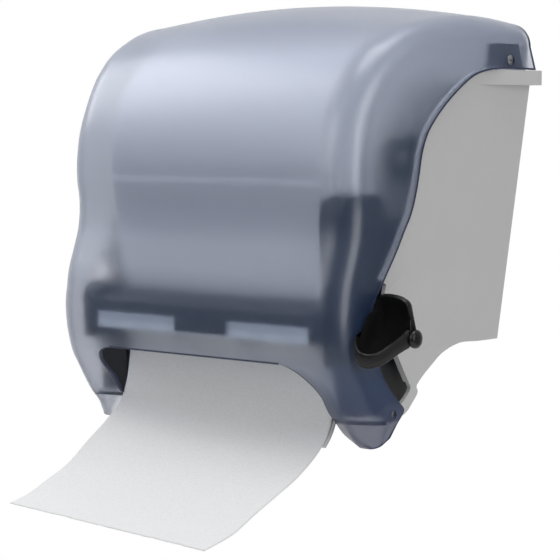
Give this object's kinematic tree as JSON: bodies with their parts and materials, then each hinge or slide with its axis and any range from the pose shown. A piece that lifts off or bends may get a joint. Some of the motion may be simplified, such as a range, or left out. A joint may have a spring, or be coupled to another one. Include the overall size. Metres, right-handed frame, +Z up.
{
  "type": "lever paper towel dispenser",
  "caption": "Wall-mounted towel dispenser with a translucent drop-front cover, a lever-driven feed, a sprung roll carrier and a tear bar.",
  "frame": {"origin": "centre of the four wall screws, on the rear face that lies against the wall", "axes": "+X across to the lever side, +Y into the wall, +Z up"},
  "size_m": [0.3454, 0.3121, 0.3775],
  "materials": {
    "grey_plastic": "moulded light grey ABS, fine satin grain",
    "smoke_plastic": "translucent smoke blue moulding, glossy",
    "black_plastic": "black moulding, satin",
    "lever_plastic": "black moulding, semi-gloss",
    "steel": "stainless and plated steel",
    "nylon": "natural nylon",
    "towel_paper": "soft embossed paper towel",
    "core_card": "brown wound board",
    "rubber": "soft grip rubber"
  },
  "bodies": {
    "root": {"back_panel": "grey_plastic", "side_panel_right": "grey_plastic", "side_panel_left": "grey_plastic", "panel_screws": "steel", "hinge_pins": "steel", "lock_keeper": "steel", "roll_arm_left": "black_plastic", "arm_bracket": "black_plastic", "arm_pin": "steel", "arm_spring": "steel", "core_hub_left": "nylon", "arm_screws": "steel", "paper_web": "towel_paper", "paper_sheet": "towel_paper", "gear_housing": "black_plastic", "housing_lid": "black_plastic", "housing_screws": "steel", "bearing_bracket": "black_plastic", "bracket_screws": "steel", "cross_beam": "black_plastic", "beam_screws": "steel", "tear_bar": "steel", "tear_bar_rivets": "steel", "rear_guide": "black_plastic", "mouth_guide": "grey_plastic", "shaft_bushings": "nylon", "idler_pin": "steel", "lever_pin": "steel", "lever_spring": "steel", "stop_bumpers": "rubber", "pinch_springs": "steel"},
    "cover": {"cover": "smoke_plastic", "lock_case": "black_plastic"},
    "lock": {"lock_cylinder": "steel", "lock_cam": "steel"},
    "right_arm": {"roll_arm_right": "black_plastic", "core_hub_right": "nylon"},
    "roll": {"paper_roll": "towel_paper", "core_tube": "core_card"},
    "drive": {"drive_shaft": "steel", "drive_core": "black_plastic", "drive_sleeves": "rubber", "clutch_hub": "nylon"},
    "pinch": {"pinch_rollers": "nylon", "pinch_shaft": "steel"},
    "lever": {"lever": "lever_plastic", "lever_paddle": "lever_plastic", "sector_gear": "nylon"},
    "idler": {"idler_gear": "nylon"},
    "pinion": {"pinion": "nylon"}
  },
  "joints": [
    {"name": "cover_hinge", "type": "hinge", "parent": "root", "child": "cover", "pos_m": [0, -0.146, -0.141], "axis": [1, 0, 0], "range_deg": [0, 90], "deforming": ["paper_sheet"]},
    {"name": "lock_turn", "type": "hinge", "parent": "cover", "child": "lock", "pos_m": [0, -0.027, 0.116], "axis": [-1, 0, 0], "range_deg": [0, 90]},
    {"name": "right_arm_swing", "type": "hinge", "parent": "root", "child": "right_arm", "pos_m": [0.107, -0.014, 0.043], "axis": [0, 0, 1], "range_deg": [0, 12], "stiffness_Nm_per_rad": 0.6, "springref_deg": -11.46},
    {"name": "roll_spin", "type": "hinge", "parent": "root", "child": "roll", "pos_m": [0, -0.1, 0.043], "axis": [1, 0, 0], "continuous": true},
    {"name": "drive_spin", "type": "hinge", "parent": "root", "child": "drive", "pos_m": [0, -0.15076, -0.0871], "axis": [1, 0, 0], "continuous": true},
    {"name": "pinch_spin", "type": "hinge", "parent": "root", "child": "pinch", "pos_m": [0, -0.17496, -0.0871], "axis": [1, 0, 0], "continuous": true},
    {"name": "lever_press", "type": "hinge", "parent": "root", "child": "lever", "pos_m": [0, -0.09, -0.067], "axis": [1, 0, 0], "range_deg": [0, 42], "stiffness_Nm_per_rad": 0.5, "springref_deg": -34.38},
    {"name": "idler_spin", "type": "hinge", "parent": "root", "child": "idler", "pos_m": [0, -0.14775, -0.0724], "axis": [1, 0, 0], "range_deg": [-263, 0.5]},
    {"name": "pinion_spin", "type": "hinge", "parent": "root", "child": "pinion", "pos_m": [0, -0.15076, -0.0871], "axis": [1, 0, 0], "range_deg": [-0.5, 301]}
  ],
  "couplings": [
    {"joint": "pinch_spin", "follows": "drive_spin", "ratio": -1.875},
    {"joint": "idler_spin", "follows": "lever_press", "ratio": -6.25},
    {"joint": "pinion_spin", "follows": "lever_press", "ratio": 7.1429}
  ]
}
